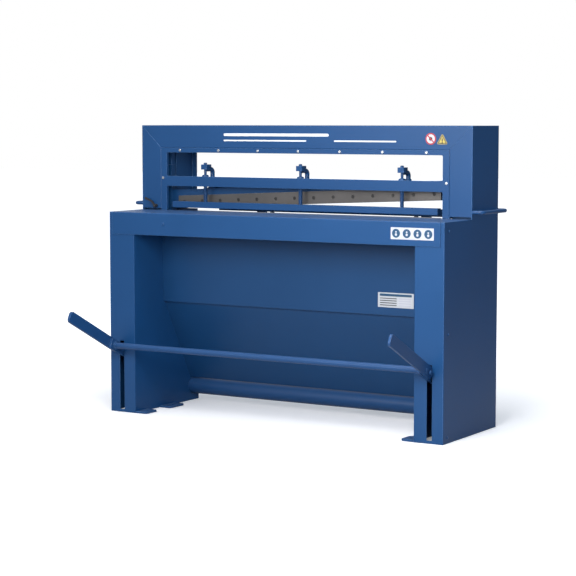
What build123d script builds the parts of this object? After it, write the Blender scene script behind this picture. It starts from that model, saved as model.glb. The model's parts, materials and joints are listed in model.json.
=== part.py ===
from build123d import *
import os
from math import atan2, cos, degrees, radians, sin

# Foot-operated guillotine shear for sheet metal. Millimetres, +Z up, X along the cut, the operator on -Y.
# The origin is on the floor, in the middle of the whole machine with its foot arms and gauge rods.

os.makedirs("parts", exist_ok=True)

# --- Driving dimensions -------------------------------------------------------------------------------
half_width = 820.0  # the housing is 1640 wide
depth = 498.0
table_height = 885.0
total_height = 1262.6
sheet = 3.0  # casing plate
bend = 3.0  # outside radius of a folded corner
front_y = -235.0  # front face of the legs

leg_inner_x = 688.0
column_inner_x = 716.0
column_front = 247.4  # the upper frame stands this far behind the leg fronts
opening_top = 1163.4  # underside of the top casing
skin_x = half_width - sheet

blade_half = 655.0
blade_plane = 296.0  # where the two blades pass
blade_thick = 12.0
blade_height = 54.0
rake = 0.0475  # rise of the upper blade per millimetre to the right
edge_height = 925.0  # upper cutting edge in the middle of the machine
beam_back = 338.0
beam_height = 81.0
blade_clearance = 0.1
screw_pitch = 96.0

pivot = (452.0, 69.0)  # rocker axis: back from the leg fronts, up from the floor
rocker_radius = 38.0
crossbar_at = (-57.0, 302.0)
lever_x = (750.0, 762.0)
arm_x = (762.0, 774.0)
rod_x = 772.0
rod_back = 296.0
pin_arm = 163.7  # rocker axis to pull rod pin
lever_angle = atan2(crossbar_at[1] - pivot[1], pivot[0] - crossbar_at[0])

post_spacing = 490.0
post_x = (-post_spacing, 0.0, post_spacing)
post_back = 266.5
gauge_x = 421.0
gauge_z = 806.0
lock_at = (-742.0, 904.0)


def back(distance):
    """Y of a point this far behind the front face of the legs."""
    return front_y + distance


def edge_z(x):
    """Height of the raked cutting edge at x."""
    return edge_height + rake * x


def front_plane(distance):
    """Upright plane facing the operator; its sketch reads x, z."""
    return Plane.XZ.offset(-back(distance))


def block(xs, ys, zs, mode=Mode.ADD):
    """Box between two corners, given as spans along X, back from the leg fronts, and Z."""
    with Locations((sum(xs) / 2, back(sum(ys) / 2), sum(zs) / 2)):
        Box(abs(xs[1] - xs[0]), abs(ys[1] - ys[0]), abs(zs[1] - zs[0]), mode=mode)


def rod_along(axis, centre, span, radius, mode=Mode.ADD):
    """Round bar along X, Y or Z. centre gives the two other coordinates, Y counted from the leg fronts."""
    if axis == "X":
        plane = Plane.YZ.offset(span[0])
        spot = (back(centre[0]), centre[1])
        length = span[1] - span[0]
    elif axis == "Y":
        plane = front_plane(span[0])
        spot = centre
        length = -(span[1] - span[0])
    else:
        plane = Plane.XY.offset(span[0])
        spot = (centre[0], back(centre[1]))
        length = span[1] - span[0]
    with BuildSketch(plane) as end:
        with Locations(spot):
            Circle(radius)
    extrude(end.sketch, amount=length, mode=mode)


def hexagon_along(axis, centre, span, across_flats):
    """Hexagonal head or nut along X, Y or Z, placed as rod_along places a bar."""
    planes = {"X": Plane.YZ.offset(span[0]), "Y": front_plane(span[0]), "Z": Plane.XY.offset(span[0])}
    spots = {"X": (back(centre[0]), centre[1]), "Y": centre, "Z": (centre[0], back(centre[1]))}
    with BuildSketch(planes[axis]) as end:
        with Locations(spots[axis]):
            RegularPolygon(across_flats / 2, 6, major_radius=False)
    extrude(end.sketch, amount=span[0] - span[1] if axis == "Y" else span[1] - span[0])


def pan_screw(x, z, face, shank):
    """Pan-head screw driven backwards into an upright face that is so far back."""
    rod_along("Y", (x, z), (face - 3.6, face), 5.8)
    rod_along("Y", (x, z), (face, face + shank), 2.9)


def write(builder, name):
    """Labels a finished piece and writes its STEP file."""
    builder.part.label = name
    export_step(builder.part, f"parts/{name}.step")


# --- Side panels: one L-shaped sheet each side, floor to top ------------------------------------------
panel_screw_back = 40.0
panel_screw_z = (24.0, 437.0, 848.0)
with BuildPart() as right_side_panel:
    with BuildSketch(Plane.YZ.offset(skin_x)):
        with BuildLine():
            Polyline(
                (back(0), 0), (back(depth), 0), (back(depth), total_height),
                (back(column_front), total_height), (back(column_front), table_height),
                (back(0), table_height), close=True,
            )
        make_face()
    extrude(amount=sheet)
    fillet(right_side_panel.faces().sort_by(Axis.X)[-1].edges(), 2)
    for z in panel_screw_z:
        rod_along("X", (panel_screw_back, z), (skin_x, half_width), 3.2, Mode.SUBTRACT)
write(right_side_panel, "right_side_panel")
with BuildPart() as left_side_panel:
    mirror(right_side_panel.part, about=Plane.YZ)
write(left_side_panel, "left_side_panel")

# --- Leg casings: folded channels with return flanges behind the side panels --------------------------
slot_x = 758.0
slot_width = 24.0
slot_span = (12.0, 317.0)
leg_top = table_height - sheet
flange = 33.0
with BuildPart() as right_leg_casing:
    with BuildSketch() as leg_plan:
        with Locations(((leg_inner_x + skin_x) / 2, back(depth / 2))):
            Rectangle(skin_x - leg_inner_x, depth)
        fillet(leg_plan.vertices().group_by(Axis.X)[0], bend)
        with Locations(((leg_inner_x + skin_x) / 2, back(depth / 2))):
            Rectangle(skin_x - leg_inner_x - 2 * sheet, depth - 2 * sheet, mode=Mode.SUBTRACT)
        with Locations((skin_x - sheet / 2, back(depth / 2))):
            Rectangle(sheet, depth - 2 * flange, mode=Mode.SUBTRACT)
    extrude(amount=leg_top)
    block((leg_inner_x + 1, skin_x - 1), (1, depth - 1), (leg_top - sheet, leg_top))
    block((694, skin_x), (271, 376), (leg_top - sheet, leg_top), Mode.SUBTRACT)
    block((leg_inner_x, leg_inner_x + 10), (290, 366), (780, leg_top), Mode.SUBTRACT)
    with BuildSketch(front_plane(0)) as slot:
        with Locations((slot_x, sum(slot_span) / 2)):
            RectangleRounded(slot_width, slot_span[1] - slot_span[0], 4)
    extrude(amount=-sheet, mode=Mode.SUBTRACT)
    rod_along("X", pivot, (leg_inner_x, leg_inner_x + sheet), rocker_radius + 1.5, Mode.SUBTRACT)
    for z in panel_screw_z:
        rod_along("X", (panel_screw_back - 20, z), (skin_x - sheet, skin_x), 3.2, Mode.SUBTRACT)
write(right_leg_casing, "right_leg_casing")
with BuildPart() as left_leg_casing:
    mirror(right_leg_casing.part, about=Plane.YZ)
write(left_leg_casing, "left_leg_casing")

# --- Column casings and top casing, mitred together at the upper corners ------------------------------
foot_line = 8.0
rear_lip = 24.0
with BuildPart() as right_column_casing:
    with BuildSketch(Plane.XY.offset(table_height)) as column_plan:
        with Locations(((column_inner_x + skin_x) / 2, back((column_front + depth) / 2))):
            Rectangle(skin_x - column_inner_x, depth - column_front)
        fillet(column_plan.vertices().group_by(Axis.X)[0], bend)
        with Locations(((column_inner_x + skin_x) / 2, back((column_front + depth) / 2))):
            Rectangle(
                skin_x - column_inner_x - 2 * sheet, depth - column_front - 2 * sheet, mode=Mode.SUBTRACT
            )
        with Locations((skin_x - sheet / 2, back((column_front + depth) / 2))):
            Rectangle(sheet, depth - column_front - 50, mode=Mode.SUBTRACT)
    extrude(amount=total_height - sheet - 0.3 - table_height)
    with BuildSketch(front_plane(column_front)):
        with BuildLine():
            Polyline(
                (column_inner_x - 5, opening_top - 5.2), (column_inner_x, opening_top - 0.4),
                (half_width, total_height - 0.4), (column_inner_x - 5, total_height), close=True,
            )
        make_face()
    extrude(amount=-(depth - column_front), mode=Mode.SUBTRACT)
    block((694, column_inner_x + 1), (250.4, 253.4), (table_height, 1140))
    block((column_inner_x, column_inner_x + 6), (281, 366), (table_height, 1140), Mode.SUBTRACT)
    block(
        (column_inner_x - 1, skin_x), (column_front - 1, column_front + sheet),
        (table_height, table_height + foot_line), Mode.SUBTRACT,
    )
    block((column_inner_x - rear_lip, column_inner_x + 1), (depth - sheet, depth), (table_height, 1140))
    rod_along("Y", (704, 1029), (250, 254), 3.2, Mode.SUBTRACT)
write(right_column_casing, "right_column_casing")
with BuildPart() as left_column_casing:
    mirror(right_column_casing.part, about=Plane.YZ)
    rod_along("Y", lock_at, (column_front - 1, column_front + 4), 4.1, Mode.SUBTRACT)
write(left_column_casing, "left_column_casing")

guard_screw_x = [204.0 * i for i in range(-3, 4)]
guard_screw_z = 1152.5
with BuildPart() as top_casing:
    with BuildSketch(Plane.YZ.offset(-skin_x)) as top_section:
        with Locations((back((column_front + depth) / 2), (opening_top + total_height) / 2)):
            Rectangle(depth - column_front, total_height - opening_top)
            fillet(top_section.vertices(), bend)
            Rectangle(
                depth - column_front - 2 * sheet, total_height - opening_top - 2 * sheet, mode=Mode.SUBTRACT
            )
    extrude(amount=2 * skin_x)
    with BuildSketch(front_plane(column_front)):
        for side in (-1, 1):
            with BuildLine():
                Polyline(
                    (side * (column_inner_x - 0.4), opening_top), (side * (half_width + 5), opening_top),
                    (side * (half_width + 5), total_height - 0.2), (side * half_width, total_height - 0.4),
                    close=True,
                )
            make_face()
    extrude(amount=-(depth - column_front), mode=Mode.SUBTRACT)
    block((-713, 713), (250.4, 253.4), (1143, 1168))
    for x in guard_screw_x:
        rod_along("Y", (x, guard_screw_z), (250, 254), 3.2, Mode.SUBTRACT)
write(top_casing, "top_casing")

# --- Finger guard: one plate with a window above the rail and an open throat below it ------------------
guard_face = 247.9
guard_thick = 2.5
guard_half = column_inner_x - 0.5
window_half = 686.0
guard_flange_back = 263.0
guard_flange_foot = 892.0
guard_flange_bite = 0.4  # the flange runs this far into the face sheet
rail_span = (993.0, 1037.3)
window_top = 1142.4
with BuildPart() as finger_guard:
    with BuildSketch(front_plane(guard_face)):
        with Locations((0, (table_height + 0.3 + opening_top - 0.3) / 2)):
            Rectangle(2 * guard_half, opening_top - table_height - 0.6)
        with Locations((0, (rail_span[1] + window_top) / 2)):
            RectangleRounded(2 * window_half, window_top - rail_span[1], 6, mode=Mode.SUBTRACT)
        with Locations((0, (table_height - 20 + rail_span[0]) / 2)):
            RectangleRounded(2 * window_half, rail_span[0] - table_height + 20, 6, mode=Mode.SUBTRACT)
        with Locations(*[(x, guard_screw_z) for x in guard_screw_x], (-704, 1029), (704, 1029)):
            Circle(3.2, mode=Mode.SUBTRACT)
    extrude(amount=-guard_thick)
    for side in (-1, 1):
        edge_x = (side * window_half, side * (window_half + guard_thick))
        flange_front = guard_face + guard_thick - guard_flange_bite
        block(edge_x, (flange_front, guard_flange_back), (guard_flange_foot, window_top))
write(finger_guard, "finger_guard")

with BuildPart() as guard_screws:
    for x in guard_screw_x:
        pan_screw(x, guard_screw_z, guard_face, 9)
    for x in (-704, 704):
        pan_screw(x, 1029, guard_face, 9)
write(guard_screws, "guard_screws")

# --- Table: folded top with its apron, the beam below it, the lower blade -----------------------------
apron_bottom = 788.0
apron_half = 802.0
table_back = 249.0
seat_back = 270.7
apron_screw = (-531.0, 838.0)
with BuildPart() as table_top:
    with BuildSketch(Plane.YZ.offset(-skin_x)) as table_section:
        with BuildLine():
            Polyline(
                (back(-sheet), apron_bottom), (back(0), apron_bottom), (back(0), leg_top),
                (back(table_back), leg_top), (back(table_back), table_height),
                (back(-sheet), table_height), close=True,
            )
        make_face()
        fillet(table_section.vertices().sort_by_distance((back(-sheet), table_height, 0))[0], 4.5)
    extrude(amount=2 * skin_x)
    for side in (-1, 1):
        block(
            (side * apron_half, side * (skin_x + 1)), (-sheet - 1, 0),
            (apron_bottom - 1, table_height + 1), Mode.SUBTRACT,
        )
    rod_along("Y", apron_screw, (-sheet, 0), 3.1, Mode.SUBTRACT)
write(table_top, "table_top")

blade_screw_x = [screw_pitch * (i - 6.5) for i in range(14)]
lower_screw_z = 852.0
with BuildPart() as table_beam:
    block((-687.9, 687.9), (215, seat_back), (790, leg_top))
    block((-687.9, 687.9), (table_back + 0.3, seat_back), (leg_top, table_height))
    block((-687.9, 687.9), (222, 244), (797, leg_top - 7), Mode.SUBTRACT)
    for x in blade_screw_x:
        rod_along("Y", (x, lower_screw_z), (seat_back - 20, seat_back), 4.3, Mode.SUBTRACT)
    for x in (-gauge_x - 28, -gauge_x + 28, gauge_x - 28, gauge_x + 28):
        rod_along("Y", (x, gauge_z), (seat_back - 15, seat_back), 4.3, Mode.SUBTRACT)
write(table_beam, "table_beam")

lower_face = blade_plane - blade_clearance
with BuildPart() as lower_blade:
    block((-blade_half, blade_half), (seat_back + 0.1, lower_face), (825, table_height))
    with Locations(Plane((0, back(lower_face), 0), x_dir=(-1, 0, 0), z_dir=(0, 1, 0))):
        with Locations(*[(x, lower_screw_z) for x in blade_screw_x]):
            CounterSinkHole(4.3, 8.4, counter_sink_angle=90)
write(lower_blade, "lower_blade")


def countersunk_screw(x, z, face, towards, length):
    """Countersunk socket screw, its head flush with the face; towards is +1 to drive it backwards."""
    with BuildSketch(Plane.YZ.offset(x)) as profile:
        with BuildLine():
            Polyline(
                (back(face), z), (back(face), z + 7.9), (back(face + towards * 3.9), z + 4.0),
                (back(face + towards * length), z + 4.0), (back(face + towards * length), z), close=True,
            )
        make_face()
    revolve(profile.sketch, axis=Axis((x, back(face), z), (0, 1, 0)))
    with BuildSketch(front_plane(face)) as socket:
        with Locations((x, z)):
            RegularPolygon(2.5, 6, major_radius=False)
    extrude(socket.sketch, amount=-towards * 3, mode=Mode.SUBTRACT)


with BuildPart() as lower_blade_screws:
    for x in blade_screw_x:
        countersunk_screw(x, lower_screw_z, lower_face, -1, 40)
write(lower_blade_screws, "lower_blade_screws")

# --- Inner panel and scrap chute between the legs -----------------------------------------------------
panel_face = 217.5
panel_bottom = 477.5
between_legs = leg_inner_x - 0.2
with BuildPart() as inner_panel:
    block((-between_legs, between_legs), (panel_face, panel_face + 2), (panel_bottom, 789.8))
    block((-between_legs, between_legs), (panel_face, panel_face + 16), (panel_bottom, panel_bottom + 2))
write(inner_panel, "inner_panel")

chute_low = (431.0, 110.0)
with BuildPart() as scrap_chute:
    with BuildSketch(Plane.YZ.offset(-between_legs)):
        with BuildLine():
            Polyline(
                (back(panel_face + 16.5), panel_bottom + 22), (back(panel_face + 18.5), panel_bottom + 22),
                (back(panel_face + 18.5), panel_bottom - 9), (back(chute_low[0]), chute_low[1]),
                (back(chute_low[0] - 2.3), chute_low[1] - 1), (back(panel_face + 16.5), panel_bottom - 10),
                close=True,
            )
        make_face()
    extrude(amount=2 * between_legs)
write(scrap_chute, "scrap_chute")

# --- Anchor lugs on the floor -------------------------------------------------------------------------
lug_x = (628.0, leg_inner_x - 0.1)
lug_spans = ((2.0, 86.0), (186.0, 296.0))
lug_thick = 8.0
anchor_x = 655.0
with BuildPart() as anchor_lugs:
    with BuildSketch():
        for side in (-1, 1):
            for span in lug_spans:
                with Locations((side * sum(lug_x) / 2, back(sum(span) / 2))):
                    Rectangle(lug_x[1] - lug_x[0], span[1] - span[0])
    extrude(amount=lug_thick)
    upright = anchor_lugs.edges().filter_by(Axis.Z)
    fillet(upright.filter_by(lambda corner: abs(corner.center().X) < lug_x[0] + 1), 14)
    for side in (-1, 1):
        for span in lug_spans:
            rod_along("Z", (side * anchor_x, sum(span) / 2), (0, lug_thick), 7, Mode.SUBTRACT)
write(anchor_lugs, "anchor_lugs")

# --- Rocker bearings inside the legs ------------------------------------------------------------------
bearing_x = (leg_inner_x + sheet, leg_inner_x + sheet + 14)
bearing_bolts_at = [(pivot[0] + dy, pivot[1] + dz) for dy in (-49, 35) for dz in (-46, 46)]
with BuildPart() as rocker_bearings:
    for side in (-1, 1):
        block((side * bearing_x[0], side * bearing_x[1]), (388, 494.8), (10, 128))
    fillet(rocker_bearings.edges().filter_by(Axis.X), 6)
    for side in (-1, 1):
        span = (side * bearing_x[0], side * bearing_x[1])
        rod_along("X", pivot, span, rocker_radius + 0.05, Mode.SUBTRACT)
        for spot in bearing_bolts_at:
            rod_along("X", spot, span, 4.2, Mode.SUBTRACT)
write(rocker_bearings, "rocker_bearings")

with BuildPart() as bearing_bolts:
    for side in (-1, 1):
        for spot in bearing_bolts_at:
            rod_along("X", spot, (side * (bearing_x[0] + 0.2), side * bearing_x[1]), 4.0)
            hexagon_along("X", spot, (side * bearing_x[1], side * (bearing_x[1] + 5.3)), 13)
write(bearing_bolts, "bearing_bolts")

# --- Guide posts, gibs and their bolts ----------------------------------------------------------------
post_in = 722.0
gib_out = 744.0
shelf_z = 640.0
spring_at = (728.0, 323.0)
with BuildPart() as guide_posts:
    for side in (-1, 1):
        block((side * post_in, side * skin_x), (276, 284), (shelf_z - 10, 1150))
        block((side * post_in, side * skin_x), (362, 370), (shelf_z - 10, 1150))
        block((side * 811, side * skin_x), (284, 362), (shelf_z - 10, 1150))
        block((side * 704, side * 811), (284, 362), (shelf_z - 10, shelf_z))
        rod_along("Z", (side * rod_x, rod_back), (shelf_z - 10, shelf_z), 12, Mode.SUBTRACT)
write(guide_posts, "guide_posts")

gib_bolt_z = (825.0, 935.0, 1045.0)
gib_spans = ((284.0, 307.9), (beam_back + 0.1, 362.0))
with BuildPart() as guide_gibs:
    for side in (-1, 1):
        for span in gib_spans:
            block((side * post_in, side * gib_out), span, (800, 1140))
            for z in gib_bolt_z:
                rod_along("X", (sum(span) / 2, z), (side * post_in, side * gib_out), 4.3, Mode.SUBTRACT)
write(guide_gibs, "guide_gibs")

with BuildPart() as gib_bolts:
    for side in (-1, 1):
        for span in gib_spans:
            for z in gib_bolt_z:
                rod_along("X", (sum(span) / 2, z), (side * (post_in - 7), side * post_in), 6.5)
                rod_along("X", (sum(span) / 2, z), (side * post_in, side * gib_out), 4.0)
write(gib_bolts, "gib_bolts")

# --- Side handles, bent from round bar ----------------------------------------------------------------
handle_z = 913.0
handle_radius = 8.0
handle_reach = 43.0
with BuildPart() as side_handles:
    for side in (-1, 1):
        with BuildLine() as bent:
            FilletPolyline(
                (side * half_width, back(256), handle_z),
                (side * (half_width + handle_reach), back(256), handle_z),
                (side * (half_width + handle_reach), back(485), handle_z),
                (side * half_width, back(485), handle_z),
                radius=17,
            )
        with BuildSketch(Plane.YZ.offset(side * half_width)) as end:
            with Locations((back(256), handle_z)):
                Circle(handle_radius)
        sweep(end.sketch, path=bent.line)
write(side_handles, "side_handles")

# --- Plates and stickers ------------------------------------------------------------------------------
film = 0.5


def sticker(x_span, z_span, face, corner):
    """Thin plate with rounded corners stuck on an upright face."""
    with BuildSketch(front_plane(face)) as outline:
        with Locations((sum(x_span) / 2, sum(z_span) / 2)):
            RectangleRounded(x_span[1] - x_span[0], z_span[1] - z_span[0], corner)
    extrude(outline.sketch, amount=film)


with BuildPart() as notice_plate:
    sticker((582, 774), (812, 860), -sheet, 2)
write(notice_plate, "notice_plate")

with BuildPart() as data_plate:
    sticker((406, 574), (510.5, 572.7), panel_face, 2)
write(data_plate, "data_plate")

with BuildPart() as accent_stripes:
    sticker((-380, 150), (1216, 1228), column_front, 5.9)
    sticker((-380, 40), (1194, 1200), column_front, 2.9)
    sticker((176, 472), (1194, 1200), column_front, 2.9)
write(accent_stripes, "accent_stripes")

with BuildPart() as red_disc:
    rod_along("Y", (631, 1209), (column_front - film, column_front), 24)
write(red_disc, "red_disc")

with BuildPart() as yellow_triangle:
    with BuildSketch(front_plane(column_front)) as triangle:
        with Locations((683.5, 1202)):
            RegularPolygon(29, 3, rotation=90)
        fillet(triangle.vertices(), 4)
    extrude(amount=film)
write(yellow_triangle, "yellow_triangle")

with BuildPart() as casing_screws:
    for side in (-1, 1):
        for z in panel_screw_z:
            spot = (panel_screw_back, z)
            rod_along("X", spot, (side * half_width, side * (half_width + 3)), 5.5)
            rod_along("X", spot, (side * (skin_x - 4), side * half_width), 2.9)
    rod_along("Y", apron_screw, (-sheet - 2.6, -sheet), 6)
    rod_along("Y", apron_screw, (-sheet, 7), 2.8)
write(casing_screws, "casing_screws")

# --- Small locking lever on the left column -----------------------------------------------------------
with BuildPart() as lock_stud:
    rod_along("Y", lock_at, (226, 262), 4.0)
    hexagon_along("Y", lock_at, (250.5, 257), 13)
write(lock_stud, "lock_stud")

lever_path = ((-747.0, 908.0), (-762.0, 924.0), (-793.0, 936.0))
with BuildPart() as lock_lever:
    rod_along("Y", lock_at, (229, 246.8), 7.5)
    with BuildSketch(front_plane(232.4)):
        for start, end in zip(lever_path, lever_path[1:]):
            run = (end[0] - start[0], end[1] - start[1])
            middle = ((start[0] + end[0]) / 2, (start[1] + end[1]) / 2)
            with Locations(middle):
                length = (run[0] ** 2 + run[1] ** 2) ** 0.5
                SlotCenterToCenter(length, 7.2, rotation=degrees(atan2(run[1], run[0])))
        with Locations(lever_path[-1]):
            Circle(4.6)
    extrude(amount=-7.2)
    rod_along("Y", lock_at, (229, 246.8), 4.05, Mode.SUBTRACT)
write(lock_lever, "lock_lever")

# --- Pedal: rocker tube, levers, foot arms, crossbar ---------------------------------------------------
along = (-cos(lever_angle), sin(lever_angle))


def on_lever(reach, rise=0.0):
    """Point so far from the rocker axis along the lever, and so far above its middle line."""
    return (
        pivot[0] + along[0] * reach + along[1] * rise,
        pivot[1] + along[1] * reach - along[0] * rise,
    )


lever_height = 46.0
lever_reach = 592.0
arm_foot = (-26.0, 291.4)
arm_angle = radians(26.8)
arm_length = 370.0
arm_half = 25.0
pin_at = on_lever(pin_arm)

with BuildPart() as rocker_tube:
    rod_along("X", pivot, (-lever_x[0] + 0.1, lever_x[0] - 0.1), rocker_radius)
    rod_along("X", pivot, (-lever_x[0], lever_x[0]), rocker_radius - 4, Mode.SUBTRACT)
write(rocker_tube, "rocker_tube")

with BuildPart() as levers:
    for side in (-1, 1):
        with BuildSketch(Plane.YZ.offset(side * lever_x[0])) as lever_outline:
            with BuildLine():
                Polyline(
                    *[
                        (back(y), z)
                        for y, z in (
                            on_lever(0, -lever_height / 2 - 10), on_lever(0, lever_height / 2 + 10),
                            on_lever(210, lever_height / 2), on_lever(lever_reach, lever_height / 2),
                            on_lever(lever_reach, -lever_height / 2), on_lever(210, -lever_height / 2),
                        )
                    ],
                    close=True,
                )
            make_face()
            front_corners = lever_outline.vertices().sort_by_distance((back(-90), 315, 0))[:2]
            fillet(front_corners, 5)
            with Locations((back(pivot[0]), pivot[1])):
                Circle(41)
            for spot in (arm_foot, crossbar_at):
                with Locations((back(spot[0]), spot[1])):
                    Circle(6.2, mode=Mode.SUBTRACT)
            with Locations((back(pin_at[0]), pin_at[1])):
                Circle(8.05, mode=Mode.SUBTRACT)
        extrude(lever_outline.sketch, amount=side * (lever_x[1] - lever_x[0]))
write(levers, "levers")

for side_name, side in (("left", -1), ("right", 1)):
    with BuildPart() as foot_arm:
        arm_tip = (arm_foot[0] - arm_length * cos(arm_angle), arm_foot[1] + arm_length * sin(arm_angle))
        across = (arm_half * sin(arm_angle), arm_half * cos(arm_angle))
        with BuildSketch(Plane.YZ.offset(side * arm_x[0])) as arm_outline:
            with BuildLine():
                Polyline(
                    (back(arm_foot[0] + across[0]), arm_foot[1] + across[1]),
                    (back(arm_tip[0] + across[0]), arm_tip[1] + across[1]),
                    (back(arm_tip[0] - across[0]), arm_tip[1] - across[1]),
                    (back(arm_foot[0] - across[0]), arm_foot[1] - across[1]), close=True,
                )
            make_face()
            tip_corners = arm_outline.vertices().sort_by_distance((back(arm_tip[0]), arm_tip[1], 0))[:2]
            fillet(tip_corners, 16)
            with Locations((back(arm_foot[0]), arm_foot[1])):
                Circle(arm_half)
                Circle(6.2, mode=Mode.SUBTRACT)
            with Locations((back(crossbar_at[0]), crossbar_at[1])):
                Circle(6.2, mode=Mode.SUBTRACT)
        extrude(amount=side * (arm_x[1] - arm_x[0]))
        fillet(foot_arm.faces().sort_by(Axis.X)[0].outer_wire().edges(), 1.5)
        fillet(foot_arm.faces().sort_by(Axis.X)[-1].outer_wire().edges(), 1.5)
    write(foot_arm, f"{side_name}_foot_arm")

crossbar_radius = 13.5
with BuildPart() as crossbar:
    rod_along("X", crossbar_at, (-lever_x[0] + 0.1, lever_x[0] - 0.1), crossbar_radius)
    for side in (-1, 1):
        rod_along("X", crossbar_at, (side * (lever_x[0] - 7), side * (lever_x[0] - 0.1)), 18)
    rod_along("X", crossbar_at, (-690, 690), crossbar_radius - 2.6, Mode.SUBTRACT)
    for side in (-1, 1):
        rod_along("X", crossbar_at, (side * 700, side * lever_x[0]), 6.2, Mode.SUBTRACT)
write(crossbar, "crossbar")

with BuildPart() as arm_bolts:
    for side in (-1, 1):
        rod_along("X", arm_foot, (side * (lever_x[0] - 14), side * arm_x[1]), 6.0)
        hexagon_along("X", arm_foot, (side * arm_x[1], side * (arm_x[1] + 7.5)), 19)
        hexagon_along("X", arm_foot, (side * (lever_x[0] - 10), side * lever_x[0]), 19)
        rod_along("X", crossbar_at, (side * 710, side * arm_x[1]), 6.0)
        rod_along("X", crossbar_at, (side * arm_x[1], side * (arm_x[1] + 3)), 10)
write(arm_bolts, "arm_bolts")

with BuildPart() as rod_pins:
    for side in (-1, 1):
        rod_along("X", pin_at, (side * lever_x[0], side * 786), 8.0)
        rod_along("X", pin_at, (side * 780, side * 783), 13)
write(rod_pins, "rod_pins")

# --- Blade beam, its stiffener, the upper blade -------------------------------------------------------
beam_half = 700.0


def raked_bar(half, low, high):
    """Outline of a bar that follows the rake, low to high above the cutting edge."""
    with BuildLine() as outline:
        Polyline(
            (-half, edge_z(-half) + low), (half, edge_z(half) + low),
            (half, edge_z(half) + high), (-half, edge_z(-half) + high), close=True,
        )
    make_face(outline.edges())


stiffener_bolt_x = (-480.0, -288.0, -144.0, 0.0, 144.0, 288.0, 480.0)
with BuildPart() as blade_beam:
    with BuildSketch(front_plane(blade_plane + blade_thick)):
        raked_bar(beam_half, 0, beam_height)
        with Locations(*[(x, edge_z(x) + blade_height / 2) for x in blade_screw_x]):
            Circle(4.3, mode=Mode.SUBTRACT)
    extrude(amount=-(beam_back - blade_plane - blade_thick))
    for x in stiffener_bolt_x:
        rod_along("Y", (x, edge_z(x) + 62), (beam_back - 20, beam_back), 5.2, Mode.SUBTRACT)
write(blade_beam, "blade_beam")

with BuildPart() as upper_blade:
    with BuildSketch(front_plane(blade_plane)):
        raked_bar(blade_half, 0, blade_height)
    extrude(amount=-blade_thick)
    with Locations(front_plane(blade_plane)):
        with Locations(*[(x, edge_z(x) + blade_height / 2) for x in blade_screw_x]):
            CounterSinkHole(4.3, 8.4, counter_sink_angle=90)
write(upper_blade, "upper_blade")

with BuildPart() as upper_blade_screws:
    for x in blade_screw_x:
        countersunk_screw(x, edge_z(x) + blade_height / 2, blade_plane, 1, 34)
write(upper_blade_screws, "upper_blade_screws")

stiffener_back = beam_back + 8
with BuildPart() as beam_stiffener:
    with BuildSketch(front_plane(beam_back)):
        with BuildLine():
            Polyline(
                (-560, edge_z(-560) + 20), (655, edge_z(655) + 20), (655, edge_z(655) + 40),
                (600, 1035), (-504, 1002), (-560, 960), close=True,
            )
        make_face()
        with Locations(*[(x, edge_z(x) + 62) for x in stiffener_bolt_x]):
            Circle(5.2, mode=Mode.SUBTRACT)
    extrude(amount=-(stiffener_back - beam_back))
write(beam_stiffener, "beam_stiffener")

with BuildPart() as stiffener_bolts:
    for x in stiffener_bolt_x:
        rod_along("Y", (x, edge_z(x) + 62), (beam_back - 19, stiffener_back), 5.0)
        hexagon_along("Y", (x, edge_z(x) + 62), (stiffener_back, stiffener_back + 6.4), 17)
write(stiffener_bolts, "stiffener_bolts")

# --- End slides and pull rods -------------------------------------------------------------------------
slide_bottom = 860.0
lug_top = 884.0
rod_radius = 9.0
with BuildPart() as beam_slides:
    for side in (-1, 1):
        block((side * beam_half, side * gib_out), (308, beam_back), (slide_bottom, 1085))
        block((side * gib_out, side * 786), (308, beam_back), (slide_bottom, lug_top))
        block((side * 756, side * 786), (284.5, 308), (slide_bottom, lug_top))
        rod_along("Z", (side * rod_x, rod_back), (slide_bottom, lug_top), rod_radius + 0.2, Mode.SUBTRACT)
write(beam_slides, "beam_slides")

with BuildPart() as pull_rods:
    for side in (-1, 1):
        rod_along("Z", (side * rod_x, rod_back), (pin_at[1] + 17, lug_top + 22), rod_radius)
        with BuildSketch(Plane.YZ.offset(side * (rod_x - 6))) as eye:
            with Locations((back(rod_back), pin_at[1])):
                SlotOverall(62, 44)
            with Locations((back(rod_back - 0.1), pin_at[1] + 0.5)):
                SlotOverall(33.5, 17.6, mode=Mode.SUBTRACT)
        extrude(eye.sketch, amount=side * 12)
write(pull_rods, "pull_rods")

with BuildPart() as pull_rod_nuts:
    for side in (-1, 1):
        for span in ((lug_top, lug_top + 14), (slide_bottom - 14, slide_bottom)):
            hexagon_along("Z", (side * rod_x, rod_back), span, 23)
            rod_along("Z", (side * rod_x, rod_back), span, rod_radius + 0.05, Mode.SUBTRACT)
write(pull_rod_nuts, "pull_rod_nuts")

# --- Hold-down: bar, rods, nuts, springs, caps; the goosenecks that press it ---------------------------
bar_span = (897.4, 925.0)
cap_span = (1037.0, 1045.0)
block_span = (1068.0, 1090.0)
post_radius = 5.95
with BuildPart() as hold_down_bar:
    block((-660, 660), (255, 287), bar_span)
    fillet(hold_down_bar.edges().filter_by(Axis.X), 1.5)
    for x in post_x:
        rod_along("Z", (x, post_back), (bar_span[1] - 16, bar_span[1]), 6.0, Mode.SUBTRACT)
write(hold_down_bar, "hold_down_bar")

with BuildPart() as hold_down_rods:
    for x in post_x:
        rod_along("Z", (x, post_back), (bar_span[1] - 15.9, block_span[1] + 8), post_radius)
write(hold_down_rods, "hold_down_rods")

with BuildPart() as hold_down_nuts:
    for x in post_x:
        hexagon_along("Z", (x, post_back), (block_span[1] + 0.1, block_span[1] + 6), 15)
        rod_along("Z", (x, post_back), (block_span[1], block_span[1] + 6), 6.0, Mode.SUBTRACT)
write(hold_down_nuts, "hold_down_nuts")

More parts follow.
